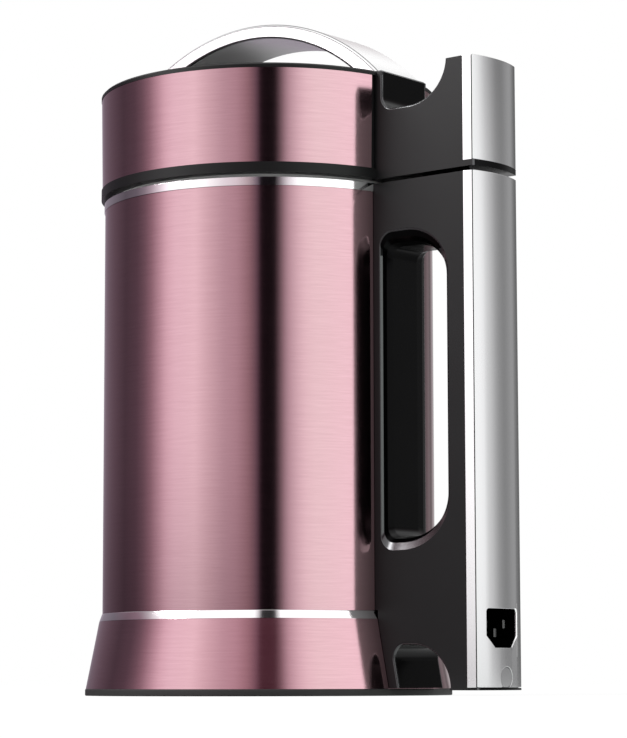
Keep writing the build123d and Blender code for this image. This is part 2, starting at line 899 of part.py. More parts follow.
band_seat_r = body_r + band_proud - band_seat - skin_gap
floor_top = head_low + head_floor_t
head_housing = turned(
    (body_r + head_ring_proud, head_low),
    (body_r + head_ring_proud, band_low),
    (band_seat_r, band_low),
    (band_seat_r, band_top),
    (head_inner_r, band_top),
    (head_inner_r, floor_top),
    (floor_inner_r, floor_top),
    (floor_inner_r, head_low),
)
extension = block(body_r - head_wall, side_x, -column_half, column_half, extension_low, extension_top)
extension -= post(head_inner_r, extension_low - overrun, extension_top + overrun)
extension -= block(0, body_r + scoop_wall, -column_w, column_w, band_top, head_top + overrun)
extension -= side_slab(scoop_outline(0), column_half + overrun)
scoop_rims = side_edges(
    extension, column_half, (body_r + scoop_wall - skin_gap, slot_x1 + skin_gap),
    (head_top - scoop_depth - skin_gap, head_top),
)
extension = fillet(scoop_rims, scoop_round)
extension += block(
    side_x - column_wall, face_x - strip_line, -tongue_half, tongue_half, extension_low, extension_top
)
extension += upright(bowed_end(side_x - column_wall), extension_low, head_strip_low)
hollow = block(
    slot_x0, face_x - strip_line, -cavity_half, cavity_half,
    extension_low + column_wall, extension_top - column_wall,
)
hollow -= side_slab(scoop_outline(column_wall), column_half)
extension -= hollow
head_housing += extension
head_housing -= post(floor_inner_r, extension_low - overrun, band_low)
head_housing -= block(
    head_inner_r - head_wall, slot_x0 + overrun, -window_half, window_half,
    floor_top + head_floor_t, floor_top + head_floor_t + window_h,
)
nose_half_x = well_half_x - fit_gap * 3
nose_half_y = well_half_y - fit_gap * 3
head_housing -= block(
    link_x - nose_half_x - fit_gap, link_x + nose_half_x + fit_gap,
    -nose_half_y - fit_gap, nose_half_y + fit_gap, extension_low - overrun, extension_low + column_wall,
)
board_guide_x = power_board_w / 2 - board_t * 3
for x in (-board_guide_x, board_guide_x):
    guide = block(
        x - board_t, x + board_t, power_board_y - board_t, power_board_y + board_t * 3,
        floor_top - skin_gap, floor_top + board_t * 4,
    )
    guide -= block(
        x - board_t * 2, x + board_t * 2, power_board_y - skin_gap, power_board_y + board_t + skin_gap,
        floor_top, band_top,
    )
    head_housing += guide
save("head_housing", head_housing)

band_low_r = body_r + band_proud
head_band = turned(
    (band_low_r, band_low),
    (band_low_r + band_lean, band_top),
    (band_seat_r + skin_gap, band_top),
    (band_seat_r + skin_gap, band_low),
)
head_band -= block(
    0, foot_r + overrun, -column_half - band_margin, column_half + band_margin,
    band_low - overrun, band_top + overrun,
)
save("head_band", head_band)

head_strip = side_strip(head_strip_low, extension_top)
save("head_strips", mirrored_pair(head_strip))
head_face = face_shell(
    head_strip_low, extension_top, head_strip_low + column_wall, extension_top - column_wall - seat_gap
)
save("head_face", head_face)

plug_flange_low = extension_low + column_wall
plug_flange_x = link_half_x
head_plug = block(
    link_x - plug_flange_x, link_x + plug_flange_x, -link_half_y, link_half_y,
    plug_flange_low, plug_flange_low + link_wall,
)
nose_low = column_top - nose_drop
head_plug += block(
    link_x - nose_half_x, link_x + nose_half_x, -nose_half_y, nose_half_y, nose_low, plug_flange_low
)
save("head_plug", head_plug)

plug_pins = [
    block(
        x - blade_pin_t / 2, x + blade_pin_t / 2, -blade_pin_w / 2, blade_pin_w / 2,
        well_floor + blade_pin_end, nose_low,
    )
    for x in contact_x
]
save("plug_pins", plug_pins)

# Head: lid with the control panel, and the arch over it

top_cover = post(lid_r, band_top, head_top)
top_cover += block(0, body_r + scoop_wall, -column_half, column_half, band_top, head_top)
top_rim = [
    edge for edge in top_cover.edges()
    if edge.bounding_box().min.Z > head_top - skin_gap
]
top_cover = chamfer(top_rim, lid_round)
lid_spigot_r = head_inner_r - fit_gap
top_cover += ring(lid_spigot_r, lid_spigot_r - lid_spigot_t, band_top - lid_spigot_h, band_top)


def panel_shape(radius, edge_y, low, high):
    """A segment of the lid on the control side of a straight edge."""
    segment = post(radius, low, high)
    return segment - block(-foot_r, foot_r, edge_y, foot_r, low - overrun, high + overrun)


panel_r = lid_r - panel_inset
panel_low = head_top - panel_t
top_cover -= panel_shape(panel_r, -panel_edge, panel_low, head_top + overrun)
control_panel = panel_shape(panel_r - skin_gap, -panel_edge - skin_gap, panel_low, head_top)

button_x = [(i - (button_count - 1) / 2) * button_pitch for i in range(button_count)]
for x in button_x:
    hole = post(button_r + fit_gap, band_top - overrun, head_top + overrun, x, button_y)
    top_cover -= hole
    control_panel -= hole
for x in button_x:
    hole = post(lens_r + skin_gap, band_top - overrun, head_top + overrun, x, lens_y)
    top_cover -= hole
    control_panel -= hole
for i in range(slot_vent_count):
    vent_y = panel_edge + (i + 1) * slot_vent_pitch
    half = slot_vent_length / 2 - i * slot_vent_w
    top_cover -= block(
        -half, half, vent_y - slot_vent_w / 2, vent_y + slot_vent_w / 2,
        band_top - overrun, head_top + overrun,
    )
strap_screw_x = strap_foot_x - strap_screw_inset
strap_screw_places = [
    (x, y) for x in (-strap_screw_x, strap_screw_x) for y in (-strap_screw_half, strap_screw_half)
]
for x, y in strap_screw_places:
    top_cover -= post(screw_r + fit_gap, band_top - overrun, head_top + overrun, x, y)
board_top = band_top - board_drop + board_t
board_post_places = [(-1, -1), (1, -1), (-1, 1), (1, 1)]
board_half_x = button_pitch * button_count / 2
board_y0 = button_y - board_edge / 2
board_y1 = lens_y + board_edge / 2
for side_a, side_b in board_post_places:
    x = side_a * (board_half_x - board_t * 2)
    y = (board_y0 + board_y1) / 2 + side_b * ((board_y1 - board_y0) / 2 - board_t * 2)
    top_cover += post(board_t, board_top, band_top, x, y)
save("top_cover", top_cover)
save("control_panel", control_panel)

lenses = [post(lens_r, board_top + seat_gap, head_top, x, lens_y) for x in button_x]
save("led_lenses", lenses)

control_board = block(
    -board_half_x, board_half_x, board_y0, board_y1, board_top - board_t, board_top
)
button_low = band_top - button_flange_t - button_travel - seat_gap
for x in button_x:
    control_board += block(
        x - switch_w / 2, x + switch_w / 2, button_y - switch_w / 2, button_y + switch_w / 2,
        board_top, button_low - button_travel - seat_gap,
    )
save("control_board", control_board)

button_names = ["start_button", "time_button", "temperature_button", "clean_button"]
for name, x in zip(button_names, button_x):
    button = post(button_r, button_low, head_top + button_proud, x, button_y)
    button = chamfer(button.edges().sort_by(Axis.Z)[-1], button_proud)
    button += post(
        button_r + button_flange, button_low, button_low + button_flange_t, x, button_y
    )
    save(name, button)

strap_z = head_top - strap_drop
strap = Pos(0, strap_z) * Circle(strap_r)
strap -= Pos(0, strap_z + strap_inner_rise) * Circle(strap_inner_r)
strap -= Pos(0, strap_z - strap_r) * Rectangle(strap_r * 4, (strap_r + strap_drop - overrun) * 2)
arch_handle = side_slab(strap, column_half)
strap_rims = [
    edge for edge in arch_handle.edges()
    if edge.geom_type == GeomType.CIRCLE and edge.radius > strap_r - skin_gap
]
arch_handle = chamfer(strap_rims, strap_round)
arch_handle &= post(lid_r, head_top, head_top + strap_r)
arch_handle = arch_handle.solids()[0]
for x, y in strap_screw_places:
    arch_handle -= post(screw_r, head_top, head_top + strap_screw_depth, x, y)
save("arch_handle", arch_handle)

strap_screws = [
    screw(band_top - screw_head_h, strap_screw_depth + lid_t - fit_gap * 3, x, y)
    for x, y in strap_screw_places
]
save("arch_screws", strap_screws)

# Head: bowl, seal, tube and probe that hang in the jug

bowl_flange_r = bowl_r + bowl_flange_w
bowl_flange_low = head_low - bowl_t
hub_low = bowl_low - bowl_hub_drop
corner_centre = (bowl_r - bowl_corner_r, bowl_low + bowl_corner_r)
steel_bowl = turned(
    (bowl_flange_r, head_low),
    (bowl_flange_r, bowl_flange_low),
    (bowl_r, bowl_flange_low),
    *reversed(bend(*corner_centre, bowl_corner_r, 270)),
    (bowl_hub_r, bowl_low),
    (tube_r + fit_gap, hub_low),
    (tube_r + skin_gap, hub_low),
    (tube_r + skin_gap, bowl_low + bowl_t),
    *bend(*corner_centre, bowl_corner_r - bowl_t, 270),
    (bowl_inner_r, head_low),
)
steel_bowl -= post(probe_r + skin_gap, bowl_low - overrun, bowl_low + bowl_t + overrun, probe_x)
save("steel_bowl", steel_bowl)

seal_inner_r = bowl_flange_r + fit_gap
seal_ring = ring(seal_inner_r + seal_w, seal_inner_r, jug_top + seat_gap, head_low)
save("seal_ring", seal_ring)

tube_inner_r = tube_r - tube_t
tube_seat = bowl_low + bowl_t
shaft_tube = ring(tube_r, tube_inner_r, tube_low, tube_seat)
shaft_tube += ring(tube_r + tube_flange_w, tube_inner_r, tube_seat, tube_seat + tube_flange_t)
save("shaft_tube", shaft_tube)

probe = post(probe_r, probe_low + probe_r, tube_seat, probe_x)
probe += Pos(probe_x, 0, probe_low + probe_r) * Sphere(probe_r)
probe += Pos(probe_x, 0, tube_seat) * extrude(RegularPolygon(probe_nut_r, 6), amount=probe_nut_t)
save("temperature_probe", probe)

# Head: motor


def square_plate(half, low, high):
    """A square with well rounded corners, the outline of the laminations."""
    return upright(RectangleRounded(half * 2, half * 2, stack_round), low, high)


mount_low = tube_seat
bracket_low = mount_low + mount_h
stack_low = bracket_low + bracket_t + bracket_gap
stack_top = stack_low + stack_h
upper_low = stack_top + bracket_gap
corner_place = motor_half - post_inset
corners = [(sx * corner_place, sy * corner_place) for sx, sy in board_post_places]

stator = square_plate(motor_half, stack_low, stack_top)
stator -= post(bore_r, stack_low - overrun, stack_top + overrun)
for x, y in corners:
    stator -= post(bolt_r + skin_gap, stack_low - overrun, stack_top + overrun, x, y)


def coil_heads(low, high):
    """Two curved winding heads on one end of the stator."""
    heads = ring(bore_r + coil_t, bore_r, low, high)
    heads -= block(-coil_t / 2, coil_t / 2, -foot_r, foot_r, low - overrun, high + overrun)
    return heads.solids()


for head in coil_heads(stack_top, stack_top + coil_h) + coil_heads(stack_low - coil_h, stack_low):
    stator += head
save("motor_stator", stator)


def bracket(plate_low, bearing_low, post_low, post_high):
    """An end bracket: a plate with a bearing cup in the middle and four posts to the stator."""
    plate = square_plate(motor_half, plate_low, plate_low + bracket_t)
    plate += post(bearing_r + bearing_wall, bearing_low, bearing_low + bearing_h)
    for x, y in corners:
        plate += post(post_r, post_low, post_high, x, y)
    plate -= post(bearing_r, bearing_low - overrun, bearing_low + bearing_h + overrun)
    hole_low = min(post_low, plate_low)
    hole_high = max(post_high, plate_low + bracket_t)
    for x, y in corners:
        plate -= post(bolt_r + skin_gap, hole_low, hole_high, x, y)
    return plate


lower_bearing_low = bracket_low + bracket_t - bearing_h / 2
upper_bearing_low = upper_low + bracket_t / 2 - bearing_h / 2
lower_bracket = bracket(bracket_low, lower_bearing_low, bracket_low + bracket_t, stack_low)
upper_bracket = bracket(upper_low, upper_bearing_low, stack_top, upper_low)
save("motor_bracket_lower", lower_bracket)
save("motor_bracket_upper", upper_bracket)

bearings = [
    ring(bearing_r, shaft_r + run_gap, low, low + bearing_h)
    for low in (lower_bearing_low, upper_bearing_low)
]
save("motor_bearings", bearings)

bolts = [post(bolt_r, bracket_low, upper_low + bracket_t, x, y) for x, y in corners]
save("motor_bolts", bolts)

mounts = [post(mount_r, mount_low, bracket_low, x, y) for x, y in corners]
save("motor_mounts", mounts)

brushes = []
for side in (-1, 1):
    inner = side * (commutator_r + air_gap)
    outer = side * (commutator_r + air_gap + brush_length)
    brushes.append(
        block(
            min(inner, outer), max(inner, outer), -brush_w / 2, brush_w / 2,
            upper_low - brush_w, upper_low,
        )
    )
save("motor_brushes", brushes)

power_board = block(
    -power_board_w / 2, power_board_w / 2, power_board_y, power_board_y + board_t,
    floor_top, floor_top + power_board_h,
)
for middle_share, width_share, low_share, high_share in board_block_shares:
    x = power_board_w * middle_share
    half = power_board_w * width_share / 2
    power_board += block(
        x - half, x + half, power_board_y - power_board_part_d, power_board_y,
        floor_top + power_board_h * low_share, floor_top + power_board_h * high_share,
    )
save("power_board", power_board)

# Rotor: shaft with the armature above and the blade below

blade_top = tube_low - spacer_h
blade_low = blade_top - blade_t
shaft_top = upper_low + bracket_t + bearing_h + fan_h + fan_lift
drive_shaft = post(shaft_r, blade_low - nut_h + nut_dome_h, shaft_top)
save("drive_shaft", drive_shaft)

core_r = bore_r - air_gap
winding_h = coil_h * 0.8
commutator_top = upper_bearing_low - fit_gap * 2
commutator_low = commutator_top - commutator_h
rotor_core = post(core_r, stack_low, stack_top)
rotor_core += post(core_r - coil_t, stack_low - winding_h, stack_low)
rotor_core += post(core_r - coil_t, stack_top, commutator_low - fit_gap)
rotor_core -= post(shaft_r, stack_low - coil_h, commutator_top)
save("rotor_core", rotor_core)

commutator = ring(commutator_r, shaft_r, commutator_low, commutator_top)
save("commutator", commutator)

fan_low = upper_low + bracket_t + bearing_h / 2 + fan_lift
cooling_fan = post(fan_hub_r, fan_low, fan_low + fan_h)
fan_span = fan_r - fan_hub_r
for i in range(fan_blade_count):
    chord = fan_h / math.cos(math.radians(fan_pitch_angle))
    paddle = Box(fan_span + fan_blade_t, chord, fan_blade_t)
    paddle = Pos(fan_hub_r + fan_span / 2, 0, fan_low + fan_h / 2) * Rot(fan_pitch_angle, 0, 0) * paddle
    cooling_fan += Rot(0, 0, 360 / fan_blade_count * i) * paddle
cooling_fan -= post(shaft_r, fan_low - overrun, fan_low + fan_h + overrun)
save("cooling_fan", cooling_fan)

bush_low = tube_low + lip_seal_h
shaft_bush = ring(tube_inner_r, shaft_r + run_gap, bush_low, bush_low + bush_h)
save("shaft_bush", shaft_bush)
lip_seal = ring(tube_inner_r, shaft_r + run_gap, tube_low, tube_low + lip_seal_h)
save("shaft_seal", lip_seal)


def wing(turn, lift):
    """One bent wing of the blade, ground to an edge along one side."""
    outline = make_face(
        Polyline(
            (0, -wing_root_w / 2), (wing_length, -wing_tip_w / 2),
            (wing_length, wing_tip_w / 2), (0, wing_root_w / 2), close=True,
        )
    )
    plate = extrude(outline, amount=blade_t)
    keen = [
        edge for edge in plate.edges()
        if edge.center().Y > 0 and edge.center().Z > blade_t - skin_gap and edge.length > wing_length / 2
    ]
    plate = chamfer(keen, blade_t * 0.9, blade_t * 2)
    root_x = blade_hub_r - blade_t
    return Rot(0, 0, turn) * Pos(root_x, 0, blade_low) * Rot(0, -lift, 0) * plate


blade = post(blade_hub_r, blade_low, blade_top)
for i in range(wing_count):
    blade += wing(360 / wing_count * i, wing_rise_angle if i % 2 == 0 else wing_drop_angle)
blade += post(shaft_r + bearing_wall, blade_top, tube_low - seat_gap)
blade -= post(shaft_r, blade_low - overrun, tube_low + overrun)
save("blade", blade)

nut_low = blade_low - nut_h
dome_top = nut_low + nut_dome_h
blade_nut = Pos(0, 0, dome_top) * extrude(RegularPolygon(nut_r, 6), amount=nut_h - nut_dome_h)
blade_nut += turned((0, nut_low), (nut_r * 0.45, nut_low), (nut_r * 0.85, dome_top), (0, dome_top))
blade_nut -= post(shaft_r, dome_top, blade_low + overrun)
save("blade_nut", blade_nut)
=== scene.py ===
import bmesh
import bpy
import json
import math
from mathutils import Matrix, Vector


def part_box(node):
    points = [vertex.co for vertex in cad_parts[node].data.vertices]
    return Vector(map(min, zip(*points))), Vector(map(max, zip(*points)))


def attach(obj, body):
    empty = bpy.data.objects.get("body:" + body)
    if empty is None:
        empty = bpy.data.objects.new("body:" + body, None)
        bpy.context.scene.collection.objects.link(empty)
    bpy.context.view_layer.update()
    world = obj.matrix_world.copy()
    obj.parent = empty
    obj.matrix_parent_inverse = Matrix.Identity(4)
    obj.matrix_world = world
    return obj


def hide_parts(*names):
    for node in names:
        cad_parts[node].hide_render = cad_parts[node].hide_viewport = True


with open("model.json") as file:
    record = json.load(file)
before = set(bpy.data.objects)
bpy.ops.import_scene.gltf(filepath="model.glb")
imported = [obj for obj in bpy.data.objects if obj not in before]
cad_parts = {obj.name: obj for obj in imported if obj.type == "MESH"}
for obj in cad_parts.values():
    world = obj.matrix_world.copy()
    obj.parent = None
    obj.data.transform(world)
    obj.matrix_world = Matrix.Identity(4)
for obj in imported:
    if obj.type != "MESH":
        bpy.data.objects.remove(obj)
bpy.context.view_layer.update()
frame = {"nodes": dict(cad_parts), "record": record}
print("frame loaded:", len(frame["nodes"]), "nodes")


# Shader maths as plain expressions: a socket of a node tree, with the arithmetic that the finishes use

class Socket:
    def __init__(self, tree, link=None):
        self.tree = tree
        self.link = link

    def node(self, kind, settings, sockets, output=0):
        made = self.tree.nodes.new(kind)
        for name, value in settings.items():
            if name == "stops":
                setStops(made.color_ramp, value)
            else:
                setattr(made, name, value)
        for key, value in sockets.items():
            if isinstance(value, Socket):
                self.tree.links.new(value.link, made.inputs[key])
            else:
                made.inputs[key].default_value = value
        return Socket(self.tree, made.outputs[output])

    def math(self, operation, *values):
        return self.node("ShaderNodeMath", {"operation": operation}, dict(enumerate(values)))

    def __add__(self, other):
        return self.math("ADD", self, other)

    def __radd__(self, other):
        return self.math("ADD", other, self)

    def __sub__(self, other):
        return self.math("SUBTRACT", self, other)

    def __rsub__(self, other):
        return self.math("SUBTRACT", other, self)

    def __mul__(self, other):
        return self.math("MULTIPLY", self, other)

    def __rmul__(self, other):
        return self.math("MULTIPLY", other, self)

    def __truediv__(self, other):
        return self.math("DIVIDE", self, other)

    def __rtruediv__(self, other):
        return self.math("DIVIDE", other, self)

    def __gt__(self, other):
        return self.math("GREATER_THAN", self, other)

    def __lt__(self, other):
        return self.math("LESS_THAN", self, other)


def setStops(ramp, stops):
    while len(ramp.elements) < len(stops):
        ramp.elements.new(1.0)
    for element, (place, shown) in zip(ramp.elements, stops):
        element.position = place
        element.color = shown


def colour(red, green, blue):
    return (red, green, blue, 1.0)


def grey(value):
    return colour(value, value, value)


def mixColours(factor, first, second):
    sockets = {0: factor, 6: first, 7: second}  # where a Mix node keeps its colours
    return factor.node("ShaderNodeMix", {"data_type": "RGBA"}, sockets, 2)


def axes(start, output):
    place = start.node("ShaderNodeTexCoord", {}, {}, output)
    parts = start.node("ShaderNodeSeparateXYZ", {}, {"Vector": place}).link.node.outputs
    return [Socket(start.tree, part) for part in parts]


def noise(start, size, stretch=(1.0, 1.0, 1.0)):
    place = start.node("ShaderNodeTexCoord", {}, {}, "Object")
    stretched = start.node("ShaderNodeMapping", {}, {"Vector": place, "Scale": stretch})
    return start.node("ShaderNodeTexNoise", {}, {"Vector": stretched, "Scale": size})


def bump(height, strength, depth):
    return height.node("ShaderNodeBump", {}, {"Strength": strength, "Distance": depth, "Height": height})


def makeMaterial(name, paint, fixed):
    material = bpy.data.materials.new(name)
    material.use_nodes = True
    tree = material.node_tree
    shader = tree.nodes["Principled BSDF"]
    for key, value in fixed.items():
        shader.inputs[key].default_value = value
    for key, value in paint(Socket(tree)).items():
        tree.links.new(value.link, shader.inputs[key])
    return material


# Brushed rose steel of the sleeve, the skirt and the head's band: the grain runs round the body

rose = {
    "light": colour(0.665, 0.420, 0.465),
    "deep": colour(0.516, 0.301, 0.341),
    "streaks": (55.0, 55.0, 1500.0),
    "hairs": (170.0, 170.0, 5200.0),
    "cloud": 9.0,
    "streakShare": 0.6,
    "hairShare": 0.4,
    "grainShare": 0.8,
    "cloudShare": 0.2,
    "roughness": 0.085,
    "grainRoughness": 0.05,
    "grainBump": 0.25,
    "grainDepth": 0.00002,
}


def paintRose(start):
    streaks = noise(start, 1.0, rose["streaks"])
    hairs = noise(start, 1.0, rose["hairs"])
    cloud = noise(start, rose["cloud"])
    grain = streaks * rose["streakShare"] + hairs * rose["hairShare"]
    lightness = grain * rose["grainShare"] + cloud * rose["cloudShare"]
    return {
        "Base Color": mixColours(lightness, rose["deep"], rose["light"]),
        "Roughness": rose["roughness"] + grain * rose["grainRoughness"],
        "Normal": bump(grain, rose["grainBump"], rose["grainDepth"]),
    }


# Satin silver of the column's face, with a painted highlight: the broken right edge of the inlet's hole is
# painted bright. Its stretch is measured from the front of the face, and from the right side, the bottom and
# the top of the inlet

satin = {
    "light": colour(0.64, 0.64, 0.645),
    "deep": colour(0.61, 0.61, 0.615),
    "speck": 2600.0,
    "roughness": 0.16,
    "speckRoughness": 0.05,
    "speckBump": 0.06,
    "speckDepth": 0.00002,
    # painted highlight: the lighter colour of the hole's right edge
    "edge": grey(0.98),
    "highlightBack": 0.0013,
    "highlightFrom": 0.0047,
    "highlightTo": 0.0008,
    "highlightBelow": 0.0009,
    "highlightAbove": 0.0004,
}


def paintSatin(start):
    speck = noise(start, satin["speck"])
    x, y, z = axes(start, "Object")
    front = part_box("handle_face")[1].x
    low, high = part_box("inlet_housing")
    # the hole's right edge, where the painted highlight goes
    edge = (y > high.y - satin["highlightFrom"]) * (y < high.y - satin["highlightTo"])
    edge = edge * (z > low.z - satin["highlightBelow"]) * (z < high.z - satin["highlightAbove"])
    edge = edge * (x < front - satin["highlightBack"])
    plain = mixColours(speck, satin["deep"], satin["light"])
    return {
        "Base Color": mixColours(edge, plain, satin["edge"]),
        "Roughness": satin["roughness"] + speck * satin["speckRoughness"],
        "Normal": bump(speck, satin["speckBump"], satin["speckDepth"]),
    }


# Moulded black plastic: a fine spark texture, polished and metallic inside the grip, where it mirrors its
# near-black colour, and with a painted highlight on its rims, a lighter colour that they mirror.
# The rims are measured from the column's side, and the slot's roof from the column's top

black = {
    "light": colour(0.005, 0.005, 0.0054),
    "deep": colour(0.0028, 0.0028, 0.003),
    "spark": 2200.0,
    "cloud": 35.0,
    "roughness": 0.33,
    "sparkRoughness": 0.08,
    "cloudRoughness": 0.03,
    "sparkBump": 0.08,
    "sparkDepth": 0.00002,
    "polish": 0.19,
    "mirror": 0.85,
    "columnFrom": 0.0812,  # where the column stands clear of the body
    "skin": 0.00002,
    # painted highlight: the lighter colour of the rims
    "rim": colour(0.09, 0.09, 0.093),
    "rimWidth": 0.0012,
    "roofRimHighlightWidth": 0.0003,
    "roofBelow": 0.0232,
    "roofReach": 0.011,
}


def paintBlack(start):
    spark = noise(start, black["spark"])
    cloud = noise(start, black["cloud"])
    x, y, z = axes(start, "Object")
    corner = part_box("handle_body")[1]
    across = start.math("ABSOLUTE", y)
    inside = (x > black["columnFrom"]) * (across < corner.y - black["skin"])
    roof = start.math("ABSOLUTE", z - (corner.z - black["roofBelow"])) < black["roofReach"]
    narrowed = roof * (black["rimWidth"] - black["roofRimHighlightWidth"])
    # the rims, where the painted highlight goes
    rim = inside * (across > corner.y - black["rimWidth"] + narrowed)
    plain = mixColours(cloud, black["deep"], black["light"])
    roughness = black["roughness"] - inside * black["polish"]
    return {
        "Base Color": mixColours(rim, plain, black["rim"]),
        "Roughness": roughness + spark * black["sparkRoughness"] + cloud * black["cloudRoughness"],
        "Metallic": inside * black["mirror"],
        "Normal": bump(spark, black["sparkBump"], black["sparkDepth"]),
    }


# The lid's arch: satin silver, matte underneath, with painted shade: dark lines along its rolled edges above
# and below its front.
# Its outer arc passes through the ends and the top of its box, and the strap is thinner at its crown

arch = {
    "light": grey(0.98),
    "deep": grey(0.95),
    "speck": 900.0,
    "roughness": 0.22,
    "speckRoughness": 0.04,
    "speckBump": 0.06,
    "speckDepth": 0.00002,
    "footThickness": 0.0103,
    "crownThickness": 0.0068,
    "front": 0.0013,
    # painted shade: the dark colour of the lines along the front's edges
    "line": colour(0.02, 0.02, 0.021),
    "chamfer": 0.0012,
    "chamferShadeLine": 0.0002,
    "outerShadeLine": 0.0004,
    "outerShadeShare": 0.7,
    "innerShadeLine": 0.0008,
    "under": 0.0002,
    "matte": 0.45,
}


def paintArch(start):
    speck = noise(start, arch["speck"])
    x, y, z = axes(start, "Object")
    low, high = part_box("arch_handle")
    rise = high.z - low.z
    outer = (high.x ** 2 + rise ** 2) / (2 * rise)
    inner = outer - arch["footThickness"]
    outerUp = z - (high.z - outer)
    innerUp = z - (high.z - inner - arch["crownThickness"])
    fromOuter = start.math("SQRT", x * x + outerUp * outerUp)
    fromInner = start.math("SQRT", x * x + innerUp * innerUp)
    # the lines of painted shade
    chamferShadeLine = start.math("ABSOLUTE", fromOuter - (outer - arch["chamfer"])) < arch["chamferShadeLine"]
    outerShadeLine = fromOuter > outer - arch["outerShadeLine"]
    innerShadeLine = fromInner < inner + arch["innerShadeLine"]
    shadeLines = start.math("MAXIMUM", chamferShadeLine, outerShadeLine) * arch["outerShadeShare"]
    shadeLines = start.math("MAXIMUM", shadeLines, innerShadeLine) * (y < low.y + arch["front"])
    under = fromInner < inner + arch["under"]
    silver = mixColours(speck, arch["deep"], arch["light"])
    return {
        "Base Color": mixColours(shadeLines, silver, arch["line"]),
        "Metallic": 1.0 - under * arch["matte"],
        "Roughness": arch["roughness"] + speck * arch["speckRoughness"],
        "Normal": bump(speck, arch["speckBump"], arch["speckDepth"]),
    }


# Plain finishes: a fine speck and a soft cloud between a light and a deep colour.
# A value in everyLook holds where a look has none of its own

everyLook = {
    "speck": 1200.0,
    "cloud": 40.0,
    "speckShare": 0.5,
    "cloudShare": 0.5,
    "cloudRoughness": 0.06,
    "bump": 0.1,
    "depth": 0.00002,
    "metallic": 0.0,
}

looks = {
    "bright_steel": {
        "name": "polishedSteel", "light": grey(0.72), "deep": colour(0.67, 0.67, 0.68),
        "roughness": 0.1, "metallic": 1.0, "speck": 900.0,
    },
    "stainless": {
        "name": "stainless", "light": colour(0.56, 0.55, 0.54), "deep": colour(0.50, 0.49, 0.48),
        "roughness": 0.22, "metallic": 1.0, "speck": 700.0,
    },
    "panel_black": {
        "name": "panelGlossBlack", "light": colour(0.012, 0.012, 0.013),
        "deep": colour(0.008, 0.008, 0.009), "roughness": 0.12,
    },
    "button_grey": {
        "name": "buttonGrey", "light": colour(0.32, 0.33, 0.34), "deep": colour(0.27, 0.28, 0.29),
        "roughness": 0.42,
    },
    "lens_white": {
        "name": "lensWhite", "light": colour(0.62, 0.63, 0.61), "deep": colour(0.56, 0.57, 0.55),
        "roughness": 0.25,
    },
    "cast_aluminium": {
        "name": "castAluminium", "light": colour(0.62, 0.62, 0.63), "deep": colour(0.50, 0.50, 0.51),
        "roughness": 0.42, "metallic": 1.0, "speck": 500.0, "bump": 0.4, "depth": 0.0001,
    },
    "heater_steel": {
        "name": "heaterSteel", "light": colour(0.42, 0.39, 0.36), "deep": colour(0.30, 0.27, 0.25),
        "roughness": 0.38, "metallic": 1.0,
    },
    "rubber_black": {
        "name": "rubberBlack", "light": grey(0.02), "deep": grey(0.012), "roughness": 0.62,
    },
    "silicone": {
        "name": "silicone", "light": colour(0.62, 0.63, 0.62), "deep": colour(0.52, 0.53, 0.52),
        "roughness": 0.45,
    },
    "contact_brass": {
        "name": "contactBrass", "light": colour(0.83, 0.66, 0.34), "deep": colour(0.70, 0.54, 0.26),
        "roughness": 0.25, "metallic": 1.0,
    },
    "screw_steel": {
        "name": "screwSteel", "light": colour(0.58, 0.57, 0.55), "deep": colour(0.46, 0.45, 0.44),
        "roughness": 0.3, "metallic": 1.0,
    },
    "lamination": {
        "name": "lamination", "light": colour(0.34, 0.34, 0.36), "deep": colour(0.24, 0.24, 0.26),
        "roughness": 0.45, "metallic": 1.0,
    },
    "bearing_steel": {
        "name": "bearingSteel", "light": colour(0.70, 0.70, 0.71), "deep": colour(0.62, 0.62, 0.63),
        "roughness": 0.16, "metallic": 1.0,
    },
    "bush_bronze": {
        "name": "bushBronze", "light": colour(0.62, 0.42, 0.22), "deep": colour(0.50, 0.33, 0.17),
        "roughness": 0.35, "metallic": 1.0,
    },
    "board_green": {
        "name": "boardGreen", "light": colour(0.03, 0.16, 0.06), "deep": colour(0.02, 0.11, 0.04),
        "roughness": 0.35,
    },
    "wire_sheath": {
        "name": "wireSheath", "light": colour(0.06, 0.06, 0.065), "deep": colour(0.04, 0.04, 0.045),
        "roughness": 0.5,
    },
    "fan_plastic": {
        "name": "fanPlastic", "light": colour(0.55, 0.55, 0.52), "deep": colour(0.47, 0.47, 0.45),
        "roughness": 0.4,
    },
    "ringSilver": {
        "name": "ringSilver", "light": colour(0.97, 0.94, 0.955), "deep": colour(0.93, 0.90, 0.915),
        "roughness": 0.05, "metallic": 1.0, "speck": 900.0,
    },
    "stripSilver": {
        "name": "stripSilver", "light": grey(0.98), "deep": grey(0.95),
        "roughness": 0.18, "metallic": 1.0, "speck": 900.0,
    },
    # the pins' silver darkened: a painted shade of the recess they sit in
    "pinSilverShaded": {
        "name": "pinSilverShaded", "light": grey(0.17), "deep": grey(0.13),
        "roughness": 0.2, "metallic": 1.0, "speck": 900.0,
    },
    "capSilver": {
        "name": "capSilver", "light": colour(0.52, 0.52, 0.525), "deep": colour(0.48, 0.48, 0.485),
        "roughness": 0.2, "metallic": 1.0, "speck": 900.0,
    },
}

# Nodes whose finish isn't the one that their slot names
ownFinish = {
    "inlet_pins": "pinSilverShaded", "screw_plug": "capSilver", "arch_handle": "archSilver",
    "upper_ring": "ringSilver", "lower_ring": "ringSilver",
    "handle_strips": "stripSilver", "head_strips": "stripSilver",
}


